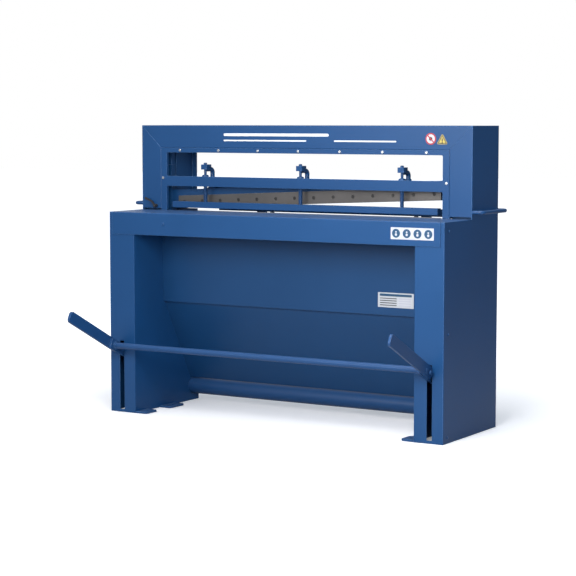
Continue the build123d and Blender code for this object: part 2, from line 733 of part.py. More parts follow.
with BuildPart() as hold_down_springs:
    for x in post_x:
        rod_along("Z", (x, post_back), (bar_span[1], cap_span[0]), 9.0)
        rod_along("Z", (x, post_back), (bar_span[1], cap_span[0]), 6.6, Mode.SUBTRACT)
write(hold_down_springs, "hold_down_springs")

cap_height = cap_span[1] - cap_span[0]
with BuildPart() as spring_caps:
    for x in post_x:
        with BuildSketch(Plane.XZ.offset(-back(post_back))):
            with BuildLine():
                low = (x + 15.5, cap_span[0])
                shoulder = (x + 15.5, cap_span[0] + 2.5)
                crown = (x + 8.0, cap_span[1])
                Line((x + 6.1, cap_span[0]), low)
                Line(low, shoulder)
                ThreePointArc(shoulder, (x + 13.0, cap_span[0] + 0.75 * cap_height), crown)
                Line(crown, (x + 6.1, cap_span[1]))
                Line((x + 6.1, cap_span[1]), (x + 6.1, cap_span[0]))
            make_face()
        revolve(axis=Axis((x, back(post_back), 0), (0, 0, 1)))
write(spring_caps, "spring_caps")

with BuildPart() as spring_blocks:
    for x in post_x:
        block((x - 15, x + 15), (252, 278), block_span)
        block((x - 9, x + 9), (278, 300), (block_span[1] - 11, block_span[1]))
    fillet(spring_blocks.edges().filter_by(Axis.Z).group_by(Axis.Y)[0], 3)
    for x in post_x:
        rod_along("Z", (x, post_back), block_span, 6.05, Mode.SUBTRACT)
write(spring_blocks, "spring_blocks")

neck_radius = 10.0
neck_start = 282.6  # just behind the spring caps
neck_back = 323.0
neck_z = block_span[0] + 0.9
with BuildPart() as gooseneck_arms:
    for x in post_x:
        beam_top = edge_z(x) + beam_height
        with BuildLine() as neck_path:
            FilletPolyline(
                (x, back(neck_start), neck_z), (x, back(neck_back), neck_z),
                (x, back(neck_back), beam_top + 1), radius=16,
            )
        with BuildSketch(front_plane(neck_start)):
            with Locations((x, neck_z)):
                Circle(neck_radius)
        sweep(path=neck_path.line)
        block((x - 9, x + 9), (278, 300), (block_span[1] - 11, block_span[1]), Mode.SUBTRACT)
        rod_along("Z", (x, neck_back), (beam_top + 1, beam_top + 12), 13.5)
write(gooseneck_arms, "gooseneck_arms")

# --- Return springs under the end slides --------------------------------------------------------------
with BuildPart() as return_springs:
    for side in (-1, 1):
        spot = (side * spring_at[0], spring_at[1])
        rod_along("Z", spot, (shelf_z, slide_bottom), 14)
        rod_along("Z", spot, (shelf_z, slide_bottom), 10, Mode.SUBTRACT)
write(return_springs, "return_springs")

# --- Back gauge on two rods that stand out behind the table beam ---------------------------------------
gauge_rod_radius = 12.5
rod_end = 832.0
flange_span = (seat_back, seat_back + 12.0)
with BuildPart() as gauge_brackets:
    for x in (-gauge_x, gauge_x):
        block((x - 38, x + 38), flange_span, (gauge_z - 19, gauge_z + 18))
    fillet(gauge_brackets.edges().filter_by(Axis.Y), 6)
    for x in (-gauge_x, gauge_x):
        rod_along("Y", (x, gauge_z), (flange_span[1], flange_span[1] + 10), 18)
        rod_along("Y", (x, gauge_z), (flange_span[0], flange_span[1] + 10), gauge_rod_radius, Mode.SUBTRACT)
        for shift in (-28, 28):
            rod_along("Y", (x + shift, gauge_z), flange_span, 4.3, Mode.SUBTRACT)
write(gauge_brackets, "gauge_brackets")

with BuildPart() as gauge_bracket_bolts:
    for x in (-gauge_x - 28, -gauge_x + 28, gauge_x - 28, gauge_x + 28):
        rod_along("Y", (x, gauge_z), (flange_span[0] - 14, flange_span[1]), 4.0)
        rod_along("Y", (x, gauge_z), (flange_span[1], flange_span[1] + 8), 6.5)
write(gauge_bracket_bolts, "gauge_bracket_bolts")

with BuildPart() as gauge_rods:
    for x in (-gauge_x, gauge_x):
        rod_along("Y", (x, gauge_z), (flange_span[0], rod_end), gauge_rod_radius - 0.05)
    chamfer(gauge_rods.faces().group_by(Axis.Y)[-1].edges(), 1.5)
write(gauge_rods, "gauge_rods")

gauge_front = 600.0
carriage_span = (gauge_front + 12.0, gauge_front + 72.0)
knob_back = gauge_front + 27.0
with BuildPart() as gauge_bar:
    block((-640, 640), (gauge_front, gauge_front + 12), (870, 903))
write(gauge_bar, "gauge_bar")

knob_z = 846.0
knob_face = gauge_x - 18.0
knob_reach = 26.0
with BuildPart() as gauge_carriages:
    for x in (-gauge_x, gauge_x):
        block((x - 24, x + 24), carriage_span, (gauge_z - 24, gauge_z + 20))
        block((x - 18, x + 18), (carriage_span[0], carriage_span[0] + 30), (gauge_z + 20, 896))
        rod_along("Y", (x, gauge_z), carriage_span, gauge_rod_radius + 0.05, Mode.SUBTRACT)
    for side in (-1, 1):
        bore = (side * (knob_face + 12), side * knob_face)
        rod_along("X", (knob_back, knob_z), bore, 4.1, Mode.SUBTRACT)
write(gauge_carriages, "gauge_carriages")

for side_name, side in (("left", -1), ("right", 1)):
    with BuildPart() as gauge_knob:
        rod_along("X", (knob_back, knob_z), (side * (knob_face + 10), side * (knob_face - knob_reach)), 4.0)
        rod_along("X", (knob_back, knob_z), (side * (knob_face - 0.4), side * (knob_face - 6)), 8)
        with BuildSketch(Plane.YZ.offset(side * (knob_face - knob_reach))):
            with Locations((back(knob_back), knob_z)):
                Circle(19)
                with PolarLocations(16, 5):
                    Circle(8)
        extrude(amount=-side * 16)
    write(gauge_knob, f"{side_name}_gauge_knob")
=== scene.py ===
# %% [markdown]
# A foot-operated guillotine shear for sheet metal. The CAD model arrives as a fixed frame of named
# pieces, each riding on the body that it moves with. This lesson gives every piece a finish that comes
# from shader nodes, models the small pieces that the CAD leaves plain, and sets up a studio shot.

# %% Load the frame
import json
from math import pi, radians

import bpy
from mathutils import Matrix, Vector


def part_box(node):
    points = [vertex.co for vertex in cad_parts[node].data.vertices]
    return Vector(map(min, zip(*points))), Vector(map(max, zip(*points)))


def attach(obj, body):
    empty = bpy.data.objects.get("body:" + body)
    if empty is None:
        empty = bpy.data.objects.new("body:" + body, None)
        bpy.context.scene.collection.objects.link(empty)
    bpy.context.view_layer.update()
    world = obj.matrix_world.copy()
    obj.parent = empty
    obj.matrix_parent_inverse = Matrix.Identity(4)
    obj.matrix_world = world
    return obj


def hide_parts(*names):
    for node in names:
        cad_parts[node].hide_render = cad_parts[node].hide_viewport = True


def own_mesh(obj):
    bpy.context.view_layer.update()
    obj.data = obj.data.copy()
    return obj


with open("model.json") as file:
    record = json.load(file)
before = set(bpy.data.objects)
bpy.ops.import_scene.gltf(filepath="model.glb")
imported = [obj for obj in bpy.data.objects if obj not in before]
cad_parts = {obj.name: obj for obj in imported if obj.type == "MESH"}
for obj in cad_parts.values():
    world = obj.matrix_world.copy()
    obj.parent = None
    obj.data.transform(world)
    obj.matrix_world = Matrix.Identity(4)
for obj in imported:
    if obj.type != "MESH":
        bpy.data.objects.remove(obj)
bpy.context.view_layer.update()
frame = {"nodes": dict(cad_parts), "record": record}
nodes = frame["nodes"]

# %% [markdown]
# Powder coat has a fine orange peel, a slow drift in tone and a little dust on what faces up; the thin
# bright lines where a sheet is folded are a painted highlight. Each effect is one node group with named
# inputs, built once and placed in every material that needs it, so a value is tuned per finish and never
# copied by hand.

# %% A helper that starts a node group
def new_group(name, inputs, outputs):
    """A shader node group with float, vector and colour sockets, and its input and output nodes."""
    group = bpy.data.node_groups.new(name, "ShaderNodeTree")
    for label, kind, value in inputs:
        socket = group.interface.new_socket(label, in_out="INPUT", socket_type=kind)
        if value is not None:
            socket.default_value = value
    for label, kind in outputs:
        group.interface.new_socket(label, in_out="OUTPUT", socket_type=kind)
    return group, group.nodes.new("NodeGroupInput"), group.nodes.new("NodeGroupOutput")


def math_node(tree, operation, first, second=None, clamp=False):
    """A Math node whose two operands are sockets or numbers; returns its output socket."""
    node = tree.nodes.new("ShaderNodeMath")
    node.operation = operation
    node.use_clamp = clamp
    for slot, operand in enumerate((first, second)):
        if operand is None:
            continue
        if isinstance(operand, (int, float)):
            node.inputs[slot].default_value = operand
        else:
            tree.links.new(operand, node.inputs[slot])
    return node.outputs[0]


def noise_value(tree, vector, scale, detail=3.0, rough=0.55):
    """Noise between 0 and 1 on a vector; scale is a socket or a number."""
    noise = tree.nodes.new("ShaderNodeTexNoise")
    noise.inputs["Detail"].default_value = detail
    noise.inputs["Roughness"].default_value = rough
    tree.links.new(vector, noise.inputs["Vector"])
    if isinstance(scale, (int, float)):
        noise.inputs["Scale"].default_value = scale
    else:
        tree.links.new(scale, noise.inputs["Scale"])
    return noise.outputs["Fac"]


print("helpers ready")

# %% Orange peel and tone drift
peel_group, entry, leave = new_group(
    "orange_peel",
    [("Vector", "NodeSocketVector", None), ("Peel Scale", "NodeSocketFloat", 420.0),
     ("Fleck Scale", "NodeSocketFloat", 1500.0), ("Fleck Share", "NodeSocketFloat", 0.25)],
    [("Height", "NodeSocketFloat"), ("Drift", "NodeSocketFloat")],
)
waves = noise_value(peel_group, entry.outputs["Vector"], entry.outputs["Peel Scale"], 1.5)
flecks = noise_value(peel_group, entry.outputs["Vector"], entry.outputs["Fleck Scale"], 2.0)
fleck_part = math_node(peel_group, "MULTIPLY", flecks, entry.outputs["Fleck Share"])
peel_group.links.new(math_node(peel_group, "ADD", waves, fleck_part), leave.inputs["Height"])
peel_group.links.new(noise_value(peel_group, entry.outputs["Vector"], 2.6, 4.0), leave.inputs["Drift"])
print("group:", peel_group.name)

# %% Edge mask: where the surface turns sharply
# On bare metal the mask is rubbed wear; on the powder coat it lightens the folds as a painted highlight.
edge_group, entry, leave = new_group(
    "edge_wear_and_highlight",
    [("Vector", "NodeSocketVector", None), ("Gain", "NodeSocketFloat", 2.5),
     ("Break Scale", "NodeSocketFloat", 90.0), ("Break", "NodeSocketFloat", 0.5)],
    [("Mask", "NodeSocketFloat"), ("Rounded Normal", "NodeSocketVector")],
)
rounded = edge_group.nodes.new("ShaderNodeBevel")
rounded.samples = 4
rounded.inputs["Radius"].default_value = 0.0022
face = edge_group.nodes.new("ShaderNodeNewGeometry")
turn = edge_group.nodes.new("ShaderNodeVectorMath")
turn.operation = "DOT_PRODUCT"
edge_group.links.new(rounded.outputs["Normal"], turn.inputs[0])
edge_group.links.new(face.outputs["Normal"], turn.inputs[1])
sharp = math_node(edge_group, "SUBTRACT", 1.0, turn.outputs["Value"], clamp=True)
strong = math_node(edge_group, "MULTIPLY", sharp, entry.outputs["Gain"], clamp=True)
broken = noise_value(edge_group, entry.outputs["Vector"], entry.outputs["Break Scale"], 3.0)
gaps = math_node(edge_group, "MULTIPLY", broken, entry.outputs["Break"])
edge_group.links.new(math_node(edge_group, "SUBTRACT", strong, gaps, clamp=True), leave.inputs["Mask"])
edge_group.links.new(rounded.outputs["Normal"], leave.inputs["Rounded Normal"])
print("group:", edge_group.name)

# %% Dust on upward faces
dust_group, entry, leave = new_group(
    "settled_dust",
    [("Vector", "NodeSocketVector", None), ("Amount", "NodeSocketFloat", 0.25),
     ("Patch Scale", "NodeSocketFloat", 14.0)],
    [("Mask", "NodeSocketFloat")],
)
face = dust_group.nodes.new("ShaderNodeNewGeometry")
split = dust_group.nodes.new("ShaderNodeSeparateXYZ")
dust_group.links.new(face.outputs["Normal"], split.inputs[0])
upward = math_node(dust_group, "POWER", math_node(dust_group, "MAXIMUM", split.outputs["Z"], 0.0), 3.0)
patches = noise_value(dust_group, entry.outputs["Vector"], entry.outputs["Patch Scale"], 5.0, 0.65)
laid = math_node(dust_group, "MULTIPLY", upward, patches)
dust_group.links.new(
    math_node(dust_group, "MULTIPLY", laid, entry.outputs["Amount"], clamp=True), leave.inputs["Mask"]
)
print("group:", dust_group.name)

# %% Brushed grain: long scratches along the piece
grain_group, entry, leave = new_group(
    "ground_grain",
    [("Vector", "NodeSocketVector", None), ("Across", "NodeSocketFloat", 700.0),
     ("Along", "NodeSocketFloat", 14.0), ("Stain Scale", "NodeSocketFloat", 9.0)],
    [("Grain", "NodeSocketFloat"), ("Stain", "NodeSocketFloat")],
)
stretch = grain_group.nodes.new("ShaderNodeCombineXYZ")
grain_group.links.new(entry.outputs["Along"], stretch.inputs["X"])
grain_group.links.new(entry.outputs["Across"], stretch.inputs["Y"])
grain_group.links.new(entry.outputs["Across"], stretch.inputs["Z"])
scaled = grain_group.nodes.new("ShaderNodeVectorMath")
scaled.operation = "MULTIPLY"
grain_group.links.new(entry.outputs["Vector"], scaled.inputs[0])
grain_group.links.new(stretch.outputs[0], scaled.inputs[1])
grain_group.links.new(noise_value(grain_group, scaled.outputs[0], 1.0, 4.0, 0.7), leave.inputs["Grain"])
grain_group.links.new(
    noise_value(grain_group, entry.outputs["Vector"], entry.outputs["Stain Scale"], 6.0, 0.6),
    leave.inputs["Stain"],
)
print("group:", grain_group.name)

# %% [markdown]
# A material starts from Object coordinates, which stay with the piece when it moves. Two small helpers
# keep the tree readable: one places a group, the other mixes two colours by a mask.

# %% Material helpers
def start_material(name, roughness, metallic=0.0, coat=0.0, coat_roughness=0.1, specular=0.5):
    """A material with its Principled shader, and its Object coordinates."""
    material = bpy.data.materials.new(name)
    material.use_nodes = True
    tree = material.node_tree
    shader = tree.nodes["Principled BSDF"]
    shader.inputs["Roughness"].default_value = roughness
    shader.inputs["Metallic"].default_value = metallic
    shader.inputs["Coat Weight"].default_value = coat
    shader.inputs["Coat Roughness"].default_value = coat_roughness
    shader.inputs["Specular IOR Level"].default_value = specular
    return material, tree, shader, tree.nodes.new("ShaderNodeTexCoord").outputs["Object"]


def place_group(tree, group, vector, **values):
    """Puts a node group in a material and sets its inputs by name, with spaces as underscores."""
    node = tree.nodes.new("ShaderNodeGroup")
    node.node_tree = group
    tree.links.new(vector, node.inputs["Vector"])
    for label, value in values.items():
        node.inputs[label.replace("_", " ")].default_value = value
    return node


def mix_colour(tree, mask, base, over):
    """base where mask is 0, over where it is 1; both are colours or sockets."""
    node = tree.nodes.new("ShaderNodeMix")
    node.data_type = "RGBA"
    tree.links.new(mask, node.inputs[0])
    for socket, colour in ((node.inputs[6], base), (node.inputs[7], over)):
        if isinstance(colour, tuple):
            socket.default_value = (*colour, 1.0)
        else:
            tree.links.new(colour, socket)
    return node.outputs[2]


def spread(tree, value, low, high):
    """Maps a 0 to 1 value to low and high."""
    return math_node(tree, "ADD", math_node(tree, "MULTIPLY", value, high - low), low)


def bump(tree, height, strength, distance, normal=None):
    """A Bump node on a height; distance is in metres."""
    node = tree.nodes.new("ShaderNodeBump")
    node.inputs["Strength"].default_value = strength
    node.inputs["Distance"].default_value = distance
    tree.links.new(height, node.inputs["Height"])
    if normal is not None:
        tree.links.new(normal, node.inputs["Normal"])
    return node.outputs["Normal"]


print("material helpers ready")

# %% [markdown]
# The casing's blue is a semi-gloss powder coat. Its edges are rounded and catch the light, so the edge mask
# lightens the colour a little as a painted highlight, and the rounded normal softens the fold.

# %% Powder coat
def powder_coat(name, colour, painted_edge_highlight, dust=0.12, edge_gain=1.6, roughness=(0.30, 0.44)):
    """Semi-gloss powder coat with peel, tone drift, a painted highlight on the edges, and dust."""
    material, tree, shader, place = start_material(name, 0.36, coat=0.14, coat_roughness=0.22, specular=0.30)
    peel = place_group(tree, peel_group, place, Peel_Scale=330.0)
    edge = place_group(tree, edge_group, place, Gain=edge_gain, Break=0.25)
    dusty = place_group(tree, dust_group, place, Amount=dust)
    darker = tuple(0.88 * channel for channel in colour)
    lighter = tuple(1.10 * channel for channel in colour)
    tone = mix_colour(tree, peel.outputs["Drift"], darker, lighter)
    # Painted highlight: the edge mask lightens the blue along the folds, where light catches them.
    edged = mix_colour(tree, edge.outputs["Mask"], tone, painted_edge_highlight)
    final = mix_colour(tree, dusty.outputs["Mask"], edged, (0.42, 0.43, 0.45))
    tree.links.new(final, shader.inputs["Base Color"])
    tree.links.new(spread(tree, peel.outputs["Drift"], *roughness), shader.inputs["Roughness"])
    tree.links.new(
        bump(tree, peel.outputs["Height"], 0.22, 0.00025, edge.outputs["Rounded Normal"]),
        shader.inputs["Normal"],
    )
    return material


casing_blue = powder_coat("casing_blue", (0.0085, 0.060, 0.178), (0.20, 0.38, 0.70), edge_gain=2.4)
# A darker copy of the casing blue with a dimmer edge colour: painted shade for the parts inside the frame.
shaded_inner_blue = powder_coat("shaded_inner_blue", (0.0080, 0.052, 0.150), (0.07, 0.17, 0.38), dust=0.08)
arm_blue = powder_coat("arm_blue", (0.0130, 0.060, 0.172), (0.16, 0.30, 0.56), dust=0.06, edge_gain=2.2)
print("powder coats:", casing_blue.name, shaded_inner_blue.name, arm_blue.name)

# %% [markdown]
# The blades are ground tool steel that has browned slightly in use. Grinding leaves fine lines along
# the blade, and oil and fingerprints leave broad stains, so both drive the colour and the roughness.

# %% Bare steels
def bare_steel(name, colour, stain, roughness, grain_along=14.0, metallic=0.9, edge=(0.75, 0.74, 0.72)):
    """Ground or drawn steel with grain along X, stains and brighter edges."""
    material, tree, shader, place = start_material(name, roughness[0], metallic=metallic)
    grain = place_group(tree, grain_group, place, Along=grain_along)
    worn = place_group(tree, edge_group, place, Gain=2.0, Break=0.4)
    base = mix_colour(tree, grain.outputs["Stain"], colour, stain)
    final = mix_colour(tree, worn.outputs["Mask"], base, edge)
    tree.links.new(final, shader.inputs["Base Color"])
    tree.links.new(spread(tree, grain.outputs["Grain"], *roughness), shader.inputs["Roughness"])
    tree.links.new(
        bump(tree, grain.outputs["Grain"], 0.18, 0.0001, worn.outputs["Rounded Normal"]),
        shader.inputs["Normal"],
    )
    return material


blade_steel = bare_steel(
    "blade_steel", (0.17, 0.158, 0.148), (0.11, 0.102, 0.096), (0.34, 0.58), metallic=0.75
)
bed_steel = bare_steel("bed_steel", (0.62, 0.62, 0.61), (0.48, 0.47, 0.46), (0.24, 0.42))
drawn_steel = bare_steel("drawn_steel", (0.52, 0.52, 0.52), (0.36, 0.35, 0.34), (0.22, 0.40))
mill_steel = bare_steel("mill_steel", (0.17, 0.17, 0.175), (0.10, 0.095, 0.09), (0.40, 0.62))
spring_steel = bare_steel("spring_steel", (0.16, 0.17, 0.19), (0.10, 0.10, 0.11), (0.30, 0.48))
cast_iron = bare_steel("cast_iron", (0.12, 0.12, 0.125), (0.07, 0.07, 0.07), (0.55, 0.75), metallic=0.4)
print("steels:", blade_steel.name, bed_steel.name, drawn_steel.name, mill_steel.name)

# %% Zinc, black oxide and moulded plastic
def plated(name, colour, haze, roughness, metallic, speck_scale):
    """Plated or oxide finish: a mottled colour with fine specks and rubbed edges."""
    material, tree, shader, place = start_material(name, roughness[0], metallic=metallic)
    peel = place_group(tree, peel_group, place, Peel_Scale=speck_scale, Fleck_Share=0.6)
    worn = place_group(tree, edge_group, place, Gain=1.5, Break=0.5)
    base = mix_colour(tree, peel.outputs["Height"], colour, haze)
    rubbed = tuple(min(1.0, 1.5 * channel + 0.05) for channel in colour)
    tree.links.new(mix_colour(tree, worn.outputs["Mask"], base, rubbed), shader.inputs["Base Color"])
    tree.links.new(spread(tree, peel.outputs["Drift"], *roughness), shader.inputs["Roughness"])
    tree.links.new(
        bump(tree, peel.outputs["Height"], 0.15, 0.0001, worn.outputs["Rounded Normal"]),
        shader.inputs["Normal"],
    )
    return material


zinc = plated("zinc", (0.78, 0.80, 0.82), (0.62, 0.64, 0.66), (0.18, 0.34), 0.9, 900.0)
black_oxide = plated("black_oxide", (0.030, 0.030, 0.033), (0.050, 0.046, 0.042), (0.36, 0.55), 0.3, 700.0)
black_plastic = plated(
    "black_plastic", (0.022, 0.022, 0.024), (0.034, 0.034, 0.036), (0.42, 0.58), 0.0, 1400.0
)
print("small finishes:", zinc.name, black_oxide.name, black_plastic.name)

# %% Printed films
def film(name, colour, roughness=0.35):
    """Printed vinyl: an even colour with a faint mottle, rubbed at its edges."""
    material, tree, shader, place = start_material(name, roughness, coat=0.3)
    peel = place_group(tree, peel_group, place, Peel_Scale=1100.0)
    base = mix_colour(tree, peel.outputs["Drift"], tuple(0.9 * c for c in colour), colour)
    tree.links.new(base, shader.inputs["Base Color"])
    tree.links.new(bump(tree, peel.outputs["Height"], 0.06, 0.0001), shader.inputs["Normal"])
    return material


white_film = film("white_film", (0.56, 0.57, 0.64))
stripe_white = film("stripe_white", (0.86, 0.88, 0.92))
red_film = film("red_film", (0.42, 0.022, 0.032))
yellow_film = film("yellow_film", (0.55, 0.42, 0.08))
ink_black = film("ink_black", (0.020, 0.020, 0.022), 0.45)
ink_blue = film("ink_blue", (0.012, 0.070, 0.150), 0.4)
plate_silver = plated("plate_silver", (0.72, 0.74, 0.77), (0.60, 0.62, 0.65), (0.30, 0.42), 0.55, 600.0)
print("films ready")

# %% Dress the CAD nodes
inner_nodes = [
    "table_beam", "inner_panel", "scrap_chute", "guide_posts", "beam_stiffener", "gauge_brackets",
    "beam_slides",
]
arm_nodes = ["left_foot_arm", "right_foot_arm", "levers", "crossbar", "rocker_tube", "side_handles"]
special = {
    "upper_blade": blade_steel, "lower_blade": bed_steel, "gauge_bar": shaded_inner_blue, "blade_beam": shaded_inner_blue,
    "arm_bolts": arm_blue, "casing_screws": casing_blue, "hold_down_rods": arm_blue,
    "hold_down_nuts": arm_blue, "spring_caps": arm_blue,
    "lock_lever": ink_black, "gauge_carriages": shaded_inner_blue, "guide_gibs": arm_blue,
}
by_slot = {
    "casing_paint": casing_blue, "beam_steel": mill_steel, "blade_steel": drawn_steel, "zinc": zinc,
    "black_oxide": black_oxide, "dark_steel": mill_steel, "notice_white": white_film,
    "data_silver": plate_silver, "stripe_white": stripe_white, "red_film": red_film,
    "yellow_film": yellow_film, "spring_steel": spring_steel, "bearing_iron": cast_iron,
    "black_plastic": black_plastic,
}
slot_of = {row["node"]: row["material_slot"] for row in frame["record"]["subparts"]}
for name, node in nodes.items():
    material = special.get(name) or by_slot[slot_of[name]]
    # Parts inside the frame take the darker blue that carries painted shade.
    if name in inner_nodes:
        material = shaded_inner_blue
    if name in arm_nodes:
        material = arm_blue
    node.data.materials.clear()
    node.data.materials.append(material)
print("dressed:", len(nodes), "nodes")

# %% [markdown]
# New pieces are modelled from a primitive and finished in edit mode. Everything is deselected first,
# because an operator acts on all that is selected. A finished piece has its place in its mesh.

# %% Piece helpers
def deselect_all():
    bpy.ops.object.select_all(action="DESELECT")


def place_in_mesh(piece, name, body, material):
    """Names a piece, puts its place in its mesh, dresses it and hangs it on its body."""
    deselect_all()
    piece.select_set(True)
    bpy.context.view_layer.objects.active = piece
    bpy.ops.object.transform_apply(location=True, rotation=True, scale=True)
    piece.name = name
    piece.data.materials.clear()
    piece.data.materials.append(material)
    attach(piece, body)
    return piece


def edit_faces():
    bpy.ops.object.mode_set(mode="EDIT")
    bpy.ops.mesh.select_mode(type="FACE")
    bpy.ops.mesh.select_all(action="DESELECT")


def apply_modifier(piece, kind, **values):
    """Adds a modifier, sets it and applies it."""
    modifier = piece.modifiers.new(kind.lower(), kind)
    for label, value in values.items():
        setattr(modifier, label, value)
    bpy.ops.object.modifier_apply(modifier=modifier.name)


def centre_of(node):
    low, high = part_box(node)
    return (low + high) / 2


print("piece helpers ready")

# %% [markdown]
# A coil spring is one wire turned about an axis while it climbs. A circle is the wire's section, and a
# Screw modifier turns it. Between the hold-down bar and its caps three springs keep the bar down on the
# sheet, and two more under the slides carry the blade beam back up.

# %% Coil springs
def coil_spring(name, spot, foot, head, coil_radius, wire_radius, turns):
    """A closed coil of round wire standing at spot = (x, y) from foot to head."""
    deselect_all()
    bpy.ops.mesh.primitive_circle_add(vertices=10, radius=wire_radius, fill_type="NGON")
    piece = bpy.context.object
    edit_faces()
    bpy.ops.mesh.select_all(action="SELECT")
    bpy.ops.transform.rotate(value=pi / 2, orient_axis="X", center_override=(0, 0, 0))
    bpy.ops.transform.translate(value=(coil_radius, 0, 0))
    bpy.ops.mesh.delete(type="ONLY_FACE")
    bpy.ops.object.mode_set(mode="OBJECT")
    climb = (head - foot - 2 * wire_radius) / turns
    apply_modifier(
        piece, "SCREW", angle=2 * pi, iterations=turns, screw_offset=climb, steps=18, render_steps=18,
        use_merge_vertices=True, merge_threshold=1e-6,
    )
    edit_faces()
    bpy.ops.mesh.select_mode(type="EDGE")
    bpy.ops.mesh.select_non_manifold()
    bpy.ops.mesh.edge_face_add()
    bpy.ops.mesh.select_all(action="SELECT")
    bpy.ops.mesh.normals_make_consistent(inside=False)
    bpy.ops.object.mode_set(mode="OBJECT")
    bpy.ops.object.shade_smooth_by_angle(angle=radians(50))
    piece.location = (spot[0], spot[1], foot + wire_radius)
    return piece


spring_low, spring_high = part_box("hold_down_springs")
spring_y = (spring_low.y + spring_high.y) / 2
cap_radius = 0.0155
caps_low, caps_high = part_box("spring_caps")
post_middle = centre_of("spring_caps").x
post_reach = (caps_high.x - caps_low.x) / 2 - cap_radius
post_spots = [post_middle + side * post_reach for side in (-1, 0, 1)]
for label, x in zip(("left", "middle", "right"), post_spots):
    piece = coil_spring(
        f"hold_down_spring_{label}", (x, spring_y), spring_low.z, spring_high.z, 0.0072, 0.0017, 26
    )
    place_in_mesh(piece, f"hold_down_spring_{label}", "hold_down", arm_blue)
    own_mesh(piece)
    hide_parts("hold_down_springs")

# %% Return springs
return_low, return_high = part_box("return_springs")
return_y = (return_low.y + return_high.y) / 2
return_x = return_high.x - 0.014
for label, side in (("left", -1), ("right", 1)):
    piece = coil_spring(
        f"return_spring_{label}", (side * return_x, return_y), return_low.z, return_high.z, 0.012, 0.002, 18
    )
    place_in_mesh(piece, f"return_spring_{label}", "frame", spring_steel)
    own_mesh(piece)
    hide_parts("return_springs")

# %% [markdown]
# Where the crossbar meets the levers and the goosenecks stand on the beam, a welder has run a fillet.
# A torus is a bead with no ripples, so every second ring of it is pushed out in edit mode.

# %% Weld beads
def weld_bead(name, centre, axis, radius, bead, body, material=arm_blue):
    """A rippled ring of weld round a bar; axis is X or Z."""
    deselect_all()
    segments = 56
    bpy.ops.mesh.primitive_torus_add(
        major_radius=radius, minor_radius=bead, major_segments=segments, minor_segments=8
    )
    piece = bpy.context.object
    bpy.ops.object.mode_set(mode="EDIT")
    bpy.ops.mesh.select_mode(type="VERT")
    bpy.ops.mesh.select_all(action="DESELECT")
    bpy.ops.object.mode_set(mode="OBJECT")
    for index, corner in enumerate(piece.data.vertices):
        corner.select = (index // 8) % 2 == 0
    bpy.ops.object.mode_set(mode="EDIT")
    bpy.ops.transform.shrink_fatten(value=0.35 * bead)
    bpy.ops.object.mode_set(mode="OBJECT")
    bpy.ops.object.shade_smooth()
    if axis == "X":
        piece.rotation_euler = (0, pi / 2, 0)
    piece.location = centre
    return place_in_mesh(piece, name, body, material)


bar_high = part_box("crossbar")[1]
bar_centre = centre_of("crossbar")
for label, side in (("left", -1), ("right", 1)):
    end = side * (bar_high.x - 0.0012)
    weld_bead(f"crossbar_weld_{label}", (end, bar_centre.y, bar_centre.z), "X", 0.0183, 0.0018, "pedal")
tube_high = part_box("rocker_tube")[1]
tube_centre = centre_of("rocker_tube")
for label, side in (("left", -1), ("right", 1)):
    end = side * (tube_high.x - 0.002)
    weld_bead(f"rocker_weld_{label}", (end, tube_centre.y, tube_centre.z), "X", 0.0385, 0.0022, "pedal")
neck_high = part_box("gooseneck_arms")[1].y
rake = 0.0475
edge_height = 0.925
beam_height = 0.081
for label, x in zip(("left", "middle", "right"), post_spots):
    foot = edge_height + rake * x + beam_height + 0.002
    weld_bead(f"gooseneck_weld_{label}", (x, neck_high - 0.0135, foot), "Z", 0.0138, 0.0016, "blade_beam")
print("weld beads done")

# %% [markdown]
# The notices carry plain pictograms of no particular meaning. Each is a thin raised print, made from a
# disc or a triangle whose face is inset and extruded, so it keeps its outline in the mesh.

# %% Prints on the plates
def printed_disc(name, centre, radius, material, ring=0.0, thickness=0.0003, sides=48):
    """A raised disc facing the operator; with a ring width its middle is cut out."""
    deselect_all()
    bpy.ops.mesh.primitive_circle_add(vertices=sides, radius=radius, fill_type="NGON")
    piece = bpy.context.object
    edit_faces()
    bpy.ops.mesh.select_all(action="SELECT")
    if ring:
        bpy.ops.mesh.inset(thickness=ring, depth=0)
        bpy.ops.mesh.delete(type="FACE")
        bpy.ops.mesh.select_all(action="SELECT")
    bpy.ops.mesh.extrude_region_move(TRANSFORM_OT_translate={"value": (0, 0, thickness)})
    bpy.ops.mesh.select_all(action="SELECT")
    bpy.ops.mesh.normals_make_consistent(inside=False)
    bpy.ops.object.mode_set(mode="OBJECT")
    piece.rotation_euler = (pi / 2, 0, 0)
    piece.location = centre
    return place_in_mesh(piece, name, "frame", material)


def printed_bar(name, centre, size, material, tilt=0.0, thickness=0.0003):
    """A raised bar facing the operator, its corners rounded; size is (width, height)."""
    deselect_all()
    bpy.ops.mesh.primitive_plane_add(size=1)
    piece = bpy.context.object
    piece.scale = (size[0], size[1], 1)
    bpy.ops.object.transform_apply(location=False, rotation=False, scale=True)
    edit_faces()
    bpy.ops.mesh.select_all(action="SELECT")
    bpy.ops.mesh.bevel(offset=0.3 * min(size), segments=3, affect="VERTICES")
    bpy.ops.mesh.select_all(action="SELECT")
    bpy.ops.mesh.extrude_region_move(TRANSFORM_OT_translate={"value": (0, 0, thickness)})
    bpy.ops.mesh.select_all(action="SELECT")
    bpy.ops.mesh.normals_make_consistent(inside=False)
    bpy.ops.object.mode_set(mode="OBJECT")
    piece.rotation_euler = (pi / 2, -tilt, 0)
    piece.location = centre
    return place_in_mesh(piece, name, "frame", material)


